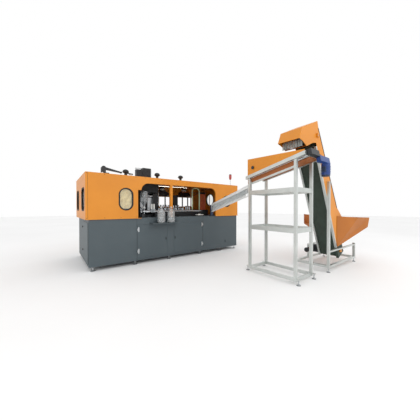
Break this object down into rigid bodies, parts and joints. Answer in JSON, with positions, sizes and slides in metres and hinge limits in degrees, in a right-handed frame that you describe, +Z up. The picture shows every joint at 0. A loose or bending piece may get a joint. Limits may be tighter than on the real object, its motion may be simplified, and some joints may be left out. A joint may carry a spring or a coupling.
{
  "type": "blow moulding machine",
  "caption": "Two-step bottle blow moulding machine: enclosed body with open working bay, sloping preform chute, roller unscrambler on a tall stand, inclined belt elevator and flared hopper.",
  "frame": {"origin": "middle of the footprint at floor level", "axes": "+X to the right along the machine front, +Y from the front of the machine to its back, +Z up"},
  "size_m": [5.935, 5.3252, 3.045],
  "materials": {
    "slate_paint": "satin powder coat",
    "orange_paint": "semi-gloss powder coat",
    "zinc": "zinc plated",
    "black_rubber": "matt",
    "clear_sheet": "clear polycarbonate",
    "dark_paint": "satin",
    "machined_steel": "milled",
    "ground_steel": "ground and polished",
    "mould_aluminium": "machined",
    "anodised": "natural anodised",
    "pale_green": "satin",
    "lamp_quartz": "tinted quartz",
    "clear_pet": "blown polyester",
    "white_plastic": "moulded",
    "black_plastic": "moulded",
    "red_lens": "moulded",
    "belt_green": "matt",
    "blue_paint": "gloss",
    "brown_orange": "satin",
    "preform_pet": "moulded polyester"
  },
  "bodies": {
    "line": {"beacon_lamp": "red_lens", "beacon_pole": "zinc", "bottles": "clear_pet", "chute_frame": "anodised", "clamp_frame": "dark_paint", "elevator_base_frame": "anodised", "elevator_belt": "belt_green", "elevator_casing": "orange_paint", "elevator_drive": "dark_paint", "elevator_edge_profiles": "anodised", "end_access_panel": "slate_paint", "extraction_hoods": "dark_paint", "fixed_hinge_halves": "slate_paint", "front_fascia": "orange_paint", "heating_bed": "dark_paint", "heating_lamps": "lamp_quartz", "hopper": "orange_paint", "left_end_wall": "orange_paint", "levelling_feet": "zinc", "lower_cabinet": "slate_paint", "preform_guide_arch": "pale_green", "preforms": "preform_pet", "rear_mullions": "dark_paint", "rear_wall": "orange_paint", "right_end_wall": "orange_paint", "roof_arm_base": "dark_paint", "roof_panel": "orange_paint", "roof_valve_box": "dark_paint", "roof_ventilators": "black_plastic", "spindles": "ground_steel", "stand_bars": "anodised", "stand_legs": "anodised", "stretch_columns": "ground_steel", "tie_bars": "ground_steel", "transfer_shaft": "ground_steel", "unscrambler_frame": "anodised", "unscrambler_gear_case": "dark_paint", "unscrambler_guards": "orange_paint", "unscrambler_motor": "blue_paint", "unscrambler_tray": "brown_orange", "window_gaskets": "black_rubber", "window_panes": "clear_sheet"},
    "left_door": {"left_door": "slate_paint", "left_door_hinge_leaves": "zinc"},
    "right_door": {"right_door": "slate_paint", "right_door_hinge_leaves": "zinc"},
    "left_clamp": {"left_platen": "dark_paint", "left_mould_half": "mould_aluminium"},
    "right_clamp": {"right_platen": "dark_paint", "right_mould_half": "mould_aluminium"},
    "stretch_unit": {"stretch_carriage": "machined_steel", "stretch_rod": "ground_steel"},
    "gripper": {"gripper_carriage": "machined_steel", "gripper_jaws": "white_plastic"},
    "star_wheel": {"star_wheel": "white_plastic"},
    "near_roller": {"near_roller": "ground_steel"},
    "far_roller": {"far_roller": "ground_steel"},
    "head_drum": {"head_drum": "machined_steel"},
    "tail_drum": {"tail_drum": "machined_steel"},
    "roof_arm": {"roof_arm": "dark_paint"}
  },
  "joints": [
    {"name": "left_door_hinge", "type": "hinge", "parent": "line", "child": "left_door", "pos_m": [-1.9025, 0.68261, 0.56], "axis": [0, 0, -1], "range_deg": [0, 110]},
    {"name": "right_door_hinge", "type": "hinge", "parent": "line", "child": "right_door", "pos_m": [-0.0125, 0.68261, 0.56], "axis": [0, 0, 1], "range_deg": [0, 110]},
    {"name": "left_clamp_slide", "type": "slide", "parent": "line", "child": "left_clamp", "axis": [1, 0, 0], "range_m": [0, 0.064]},
    {"name": "right_clamp_slide", "type": "slide", "parent": "line", "child": "right_clamp", "axis": [-1, 0, 0], "range_m": [0, 0.064]},
    {"name": "stretch_slide", "type": "slide", "parent": "line", "child": "stretch_unit", "axis": [0, 0, -1], "range_m": [0, 0.17]},
    {"name": "gripper_slide", "type": "slide", "parent": "line", "child": "gripper", "axis": [1, 0, 0], "range_m": [0, 0.48]},
    {"name": "star_wheel_spin", "type": "hinge", "parent": "line", "child": "star_wheel", "pos_m": [-0.0525, 0.80461, 1.142], "axis": [0, 0, 1], "continuous": true},
    {"name": "near_roller_spin", "type": "hinge", "parent": "line", "child": "near_roller", "pos_m": [-0.0955, -1.79557, 2.13902], "axis": [0, -0.9789, 0.2045], "continuous": true},
    {"name": "far_roller_spin", "type": "hinge", "parent": "line", "child": "far_roller", "pos_m": [0.0205, -1.79557, 2.13902], "axis": [0, -0.9789, 0.2045], "continuous": true},
    {"name": "tail_drum_spin", "type": "hinge", "parent": "line", "child": "tail_drum", "pos_m": [1.67347, -2.16539, 0.37716], "axis": [0, 1, 0], "continuous": true},
    {"name": "head_drum_spin", "type": "hinge", "parent": "line", "child": "head_drum", "pos_m": [0.55762, -2.16539, 2.75897], "axis": [0, 1, 0], "continuous": true},
    {"name": "roof_arm_pivot", "type": "hinge", "parent": "line", "child": "roof_arm", "pos_m": [-2.5375, 1.19461, 2.3], "axis": [0, -1, 0], "range_deg": [0, 70]}
  ],
  "couplings": [
    {"joint": "right_clamp_slide", "follows": "left_clamp_slide", "ratio": 1},
    {"joint": "far_roller_spin", "follows": "near_roller_spin", "ratio": -1},
    {"joint": "head_drum_spin", "follows": "tail_drum_spin", "ratio": 1}
  ]
}
